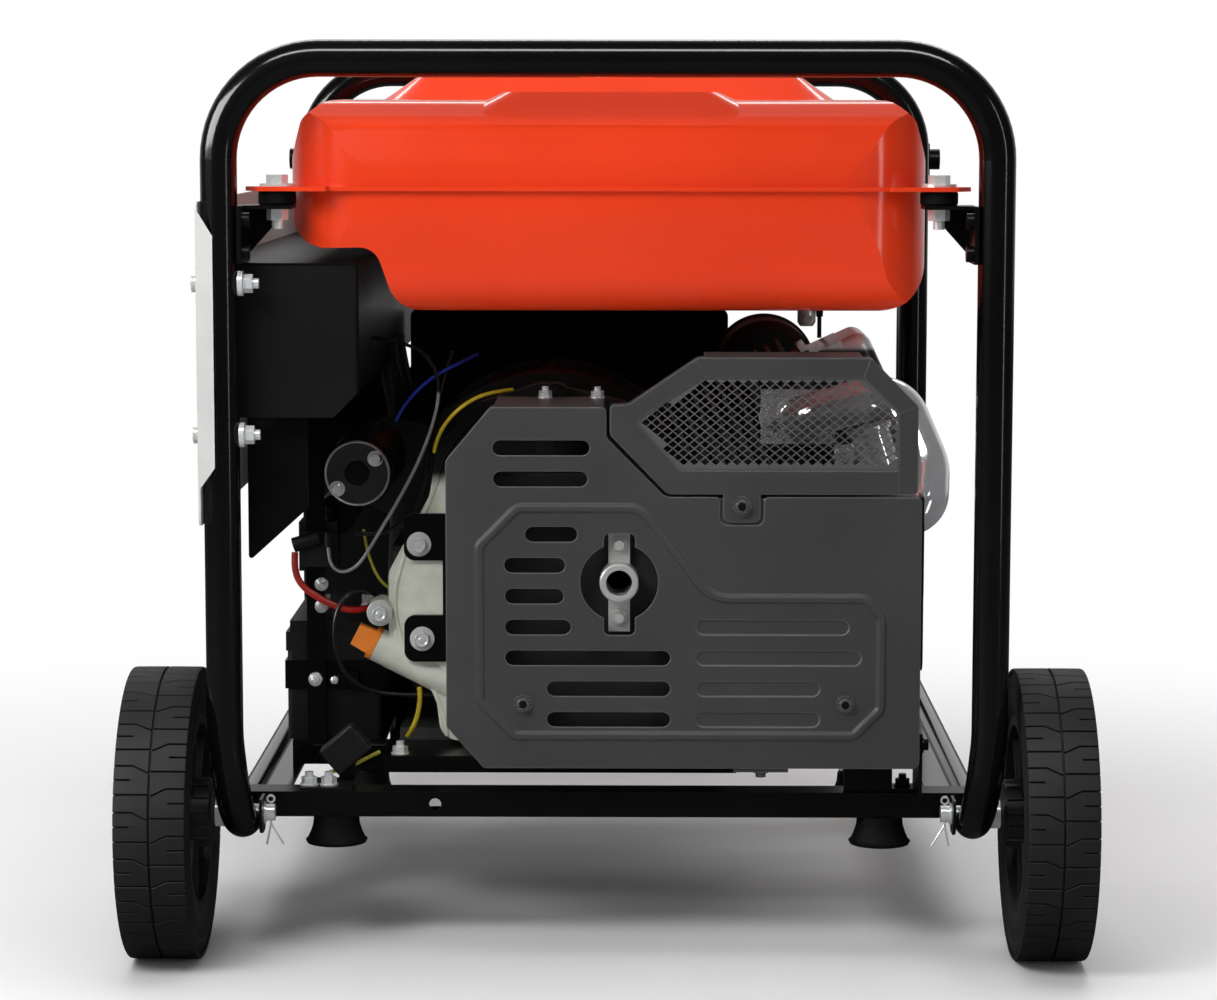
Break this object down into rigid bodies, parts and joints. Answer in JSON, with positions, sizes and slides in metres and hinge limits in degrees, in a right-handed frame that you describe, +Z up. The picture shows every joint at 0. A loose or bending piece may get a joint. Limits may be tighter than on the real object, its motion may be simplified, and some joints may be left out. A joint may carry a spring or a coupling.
{
  "type": "portable generator",
  "caption": "Open-frame portable petrol generator with a red fuel tank over the engine, a slotted heat shield and mesh guard at one end, wheels, feet and a folding transport handle.",
  "frame": {"origin": "middle of the plan on the ground", "axes": "+X to the right seen from the wheel end, +Y from the wheel end to the handle end, +Z up"},
  "size_m": [0.668, 0.8016, 0.6405],
  "materials": {
    "black_frame_paint": "gloss",
    "tyre_rubber": "matt",
    "wheel_plastic": "satin",
    "black_rubber": "matt",
    "bright_steel": "satin",
    "red_paint": "gloss",
    "black_plastic": "satin",
    "dark_grey_paint": "satin",
    "pale_grey_paint": "satin",
    "socket_blue": "gloss",
    "cast_aluminium": "cast",
    "orange_plastic": "satin",
    "chrome_plate": "polished",
    "cast_iron_rotor": "matt",
    "starter_paint": "satin",
    "shield_paint": "satin",
    "muffler_steel": "satin",
    "red_insulation": "satin",
    "white_insulation": "satin",
    "yellow_insulation": "satin",
    "black_insulation": "satin"
  },
  "bodies": {
    "frame": {"front_hoop": "black_frame_paint", "rear_hoop": "black_frame_paint", "base_rails": "black_frame_paint", "cross_members": "black_frame_paint", "engine_tray": "black_frame_paint", "rubber_mounts": "black_rubber", "frame_brackets": "black_frame_paint", "axles": "bright_steel", "rubber_feet": "black_rubber", "rear_legs": "black_frame_paint", "fuel_tank_top": "red_paint", "fuel_tank_bottom": "red_paint", "fuel_tap": "bright_steel", "control_box": "dark_grey_paint", "control_fascia": "pale_grey_paint", "panel_fittings": "black_plastic", "crankcase_cover": "cast_aluminium", "crankcase": "cast_aluminium", "cylinder": "cast_aluminium", "cylinder_head": "cast_aluminium", "valve_cover": "chrome_plate", "starter_motor": "starter_paint", "stator": "cast_iron_rotor", "alternator_housing": "cast_aluminium", "recoil_cover": "black_frame_paint", "air_cleaner": "black_plastic", "carburettor": "cast_aluminium", "muffler": "muffler_steel", "outlet_pipe": "bright_steel", "exhaust_pipe": "chrome_plate", "exhaust_brackets": "black_frame_paint", "heat_shield": "shield_paint", "mesh_frame": "shield_paint", "mesh_screen": "muffler_steel", "battery": "black_plastic", "battery_tray": "black_frame_paint", "electrical_modules": "black_plastic", "bright_bolts": "bright_steel", "shield_screws": "black_frame_paint", "red_battery_lead": "red_insulation", "white_lead": "white_insulation", "yellow_lead": "yellow_insulation", "sensor_lead": "black_insulation"},
    "wheel_left": {"tyre_left": "tyre_rubber", "rim_left": "wheel_plastic"},
    "wheel_right": {"tyre_right": "tyre_rubber", "rim_right": "wheel_plastic"},
    "handle": {"handle_bar": "black_frame_paint", "handle_grip": "black_rubber"},
    "cap": {"fuel_cap": "black_plastic"},
    "tap_lever": {"fuel_tap_lever": "black_plastic"},
    "oil_filler_plug": {"dipstick": "orange_plastic"},
    "crank": {"rotor": "cast_iron_rotor"},
    "pull_handle": {"recoil_grip": "black_plastic"},
    "choke": {"choke_lever": "black_plastic"},
    "breaker_lever": {"breaker_toggle": "black_plastic"},
    "switch_knob": {"start_switch": "black_plastic"},
    "lid_1": {"socket_lid_1": "socket_blue"},
    "lid_2": {"socket_lid_2": "socket_blue"},
    "lid_3": {"socket_lid_3": "socket_blue"}
  },
  "joints": [
    {"name": "wheel_left_spin", "type": "hinge", "parent": "frame", "child": "wheel_left", "pos_m": [-0.309, -0.2983, 0.1025], "axis": [1, 0, 0], "continuous": true},
    {"name": "wheel_right_spin", "type": "hinge", "parent": "frame", "child": "wheel_right", "pos_m": [0.309, -0.2983, 0.1025], "axis": [1, 0, 0], "continuous": true},
    {"name": "handle_fold", "type": "hinge", "parent": "frame", "child": "handle", "pos_m": [0, 0.3858, 0.552], "axis": [1, 0, 0], "range_deg": [0, 90]},
    {"name": "fuel_cap_turn", "type": "hinge", "parent": "frame", "child": "cap", "pos_m": [0.004, 0, 0.623], "axis": [0, 0, 1], "range_deg": [0, 90]},
    {"name": "fuel_tap_turn", "type": "hinge", "parent": "frame", "child": "tap_lever", "pos_m": [0.159, -0.0433, 0.443], "axis": [1, 0, 0], "range_deg": [0, 90]},
    {"name": "oil_filler_turn", "type": "hinge", "parent": "frame", "child": "oil_filler_plug", "pos_m": [-0.16924, -0.1973, 0.20665], "axis": [-0.891, 0, 0.454], "range_deg": [0, 90]},
    {"name": "crank_spin", "type": "hinge", "parent": "frame", "child": "crank", "pos_m": [-0.048, -0.0333, 0.2725], "axis": [0, 1, 0], "continuous": true},
    {"name": "recoil_pull", "type": "slide", "parent": "frame", "child": "pull_handle", "axis": [1, 0, 0], "range_m": [0, 0.12], "stiffness_N_per_m": 60, "springref_m": -0.05},
    {"name": "choke_turn", "type": "hinge", "parent": "frame", "child": "choke", "pos_m": [0.13254, -0.0063, 0.38071], "axis": [0, 0, 1], "range_deg": [-35, 0]},
    {"name": "breaker_tilt", "type": "hinge", "parent": "frame", "child": "breaker_lever", "pos_m": [-0.2831, 0.1367, 0.4325], "axis": [0, 1, 0], "range_deg": [-70, 0]},
    {"name": "start_switch_turn", "type": "hinge", "parent": "frame", "child": "switch_knob", "pos_m": [-0.2825, 0.2167, 0.4345], "axis": [1, 0, 0], "range_deg": [0, 60]},
    {"name": "socket_lid_1_open", "type": "hinge", "parent": "frame", "child": "lid_1", "pos_m": [-0.2861, -0.1283, 0.4555], "axis": [0, 1, 0], "range_deg": [0, 110], "stiffness_Nm_per_rad": 0.02, "springref_deg": -34.38},
    {"name": "socket_lid_2_open", "type": "hinge", "parent": "frame", "child": "lid_2", "pos_m": [-0.2861, -0.0433, 0.4555], "axis": [0, 1, 0], "range_deg": [0, 110], "stiffness_Nm_per_rad": 0.02, "springref_deg": -34.38},
    {"name": "socket_lid_3_open", "type": "hinge", "parent": "frame", "child": "lid_3", "pos_m": [-0.2861, 0.0417, 0.4555], "axis": [0, 1, 0], "range_deg": [0, 110], "stiffness_Nm_per_rad": 0.02, "springref_deg": -34.38}
  ]
}
